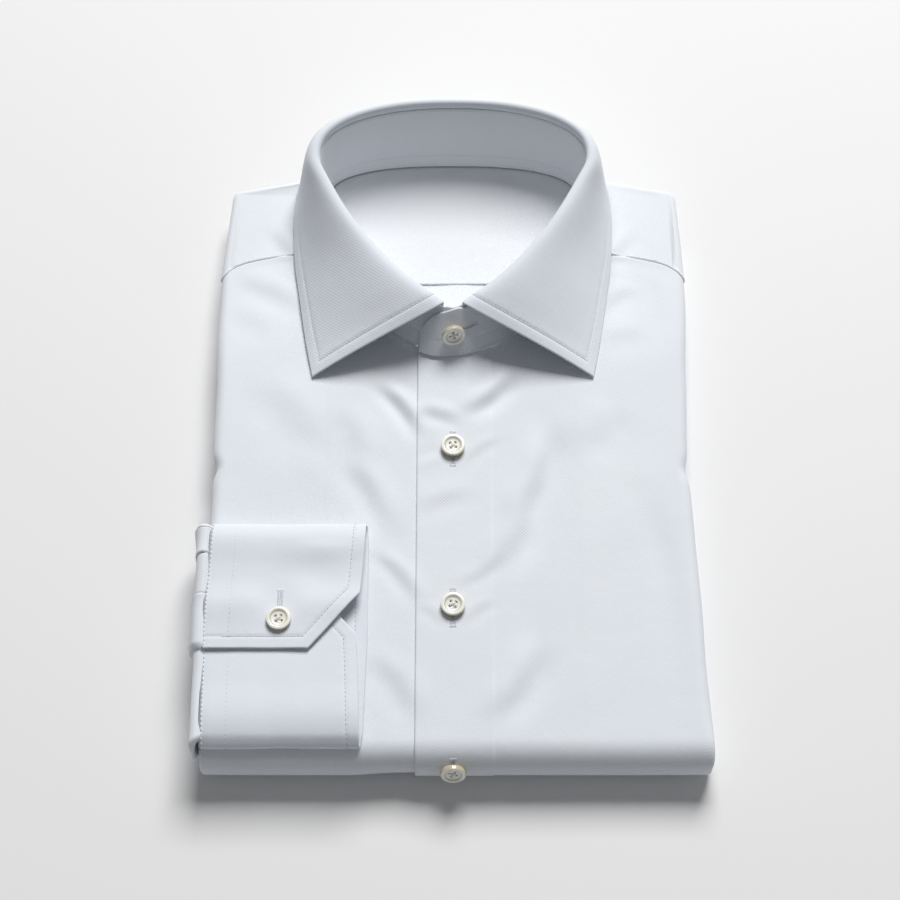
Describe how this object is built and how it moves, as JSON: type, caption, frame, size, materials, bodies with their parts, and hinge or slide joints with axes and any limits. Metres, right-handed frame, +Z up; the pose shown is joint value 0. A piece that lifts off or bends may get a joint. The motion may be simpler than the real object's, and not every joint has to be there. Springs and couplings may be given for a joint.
{
  "type": "folded dress shirt",
  "caption": "Folded long-sleeved dress shirt lying front up, with a standing spread collar, buttoned front placket and one mitred cuff laid on the chest.",
  "frame": {"origin": "on the supporting surface, straight below the line of front buttons, by the upper of the flat ones", "axes": "+X towards the wearer's left, +Y from the near fold to the collar, +Z up from the surface"},
  "size_m": [0.2514, 0.3747, 0.0616],
  "materials": {
    "shirting": "pale blue-white cotton twill, pressed",
    "buttons": "pearl-white, dished, four holes"
  },
  "bodies": {
    "root": {"inner_layers": "shirting", "front_left": "shirting", "front_right": "shirting", "yoke": "shirting", "yoke_lining": "shirting", "back": "shirting", "collar_band": "shirting", "collar_leaf": "shirting", "sleeve_right": "shirting", "cuff_right": "shirting", "button_front_1": "buttons", "button_front_2": "buttons", "button_front_3": "buttons", "button_cuff": "buttons", "button_collar": "buttons"}
  },
  "joints": []
}
